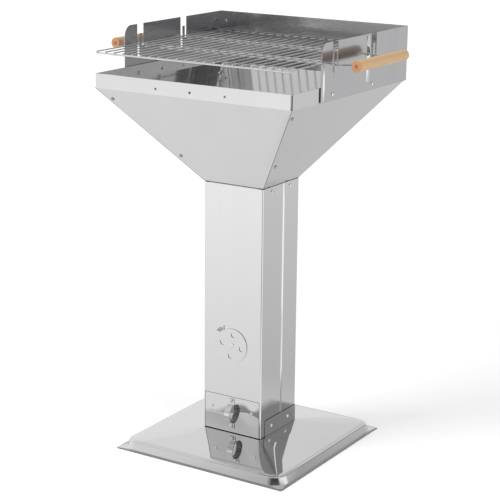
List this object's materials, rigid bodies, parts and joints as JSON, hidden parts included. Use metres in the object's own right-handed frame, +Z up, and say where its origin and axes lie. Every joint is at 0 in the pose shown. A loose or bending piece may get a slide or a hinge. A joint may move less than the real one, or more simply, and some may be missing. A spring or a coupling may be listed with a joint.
{
  "type": "charcoal grill",
  "caption": "Square funnel charcoal grill of polished sheet steel on a column with an ash drawer, an air disc, a wind shield and a lift-out cooking grate with wooden grips.",
  "frame": {"origin": "centre of the square base at floor level", "axes": "+Z up, -Y towards the front with the ash drawer and the air disc, +X to the right seen from the front"},
  "size_m": [0.6234, 0.4896, 0.9349],
  "materials": {
    "polished_sheet": "polished stainless sheet",
    "column_sheet": "polished stainless sheet",
    "tray_sheet": "plain steel sheet",
    "fastener": "bright zinc-plated screws, nuts and rivets",
    "grate_wire": "chrome-plated wire",
    "charcoal_wire": "plain steel wire",
    "grip_wood": "light clear-varnished hardwood"
  },
  "bodies": {
    "stand": {"base_pan": "polished_sheet", "foot_cradle": "polished_sheet", "cradle_bolts": "fastener", "cradle_nuts": "fastener", "foot_screws": "fastener", "foot_nuts": "fastener", "column_front": "column_sheet", "column_rear": "column_sheet", "column_screws": "fastener", "column_nuts": "fastener", "air_disc_rivet": "fastener", "funnel_front": "polished_sheet", "funnel_right": "polished_sheet", "funnel_rear": "polished_sheet", "funnel_left": "polished_sheet", "funnel_screws": "fastener", "funnel_nuts": "fastener", "shield_left": "polished_sheet", "shield_right": "polished_sheet", "shield_back": "polished_sheet", "shield_screws": "fastener", "shield_nuts": "fastener", "corner_bolts": "fastener", "corner_nuts": "fastener"},
    "ash_drawer": {"drawer_front": "column_sheet", "ash_tray": "tray_sheet", "drawer_handle": "polished_sheet", "drawer_rivets": "fastener", "handle_screws": "fastener", "handle_nuts": "fastener"},
    "air_damper": {"air_disc": "column_sheet"},
    "cooking_grate": {"grate_end_wires": "grate_wire", "grate_bars": "grate_wire", "grate_cross_wires": "grate_wire", "handle_rods": "grate_wire", "rod_ends": "grate_wire", "grip_left": "grip_wood", "grip_right": "grip_wood"},
    "charcoal_grate": {"charcoal_frame": "charcoal_wire", "charcoal_bars": "charcoal_wire", "charcoal_cross_wires": "charcoal_wire"}
  },
  "joints": [
    {"name": "ash_drawer_slide", "type": "slide", "parent": "stand", "child": "ash_drawer", "axis": [0, -1, 0], "range_m": [0, 0.125]},
    {"name": "air_disc_turn", "type": "hinge", "parent": "stand", "child": "air_damper", "pos_m": [0, -0.0758, 0.244], "axis": [0, -1, 0], "continuous": true},
    {"name": "cooking_grate_lift", "type": "slide", "parent": "stand", "child": "cooking_grate", "axis": [0, 0, 1], "range_m": [0, 0.08]},
    {"name": "charcoal_grate_lift", "type": "slide", "parent": "stand", "child": "charcoal_grate", "axis": [0, 0, 1], "range_m": [0, 0.14]}
  ]
}
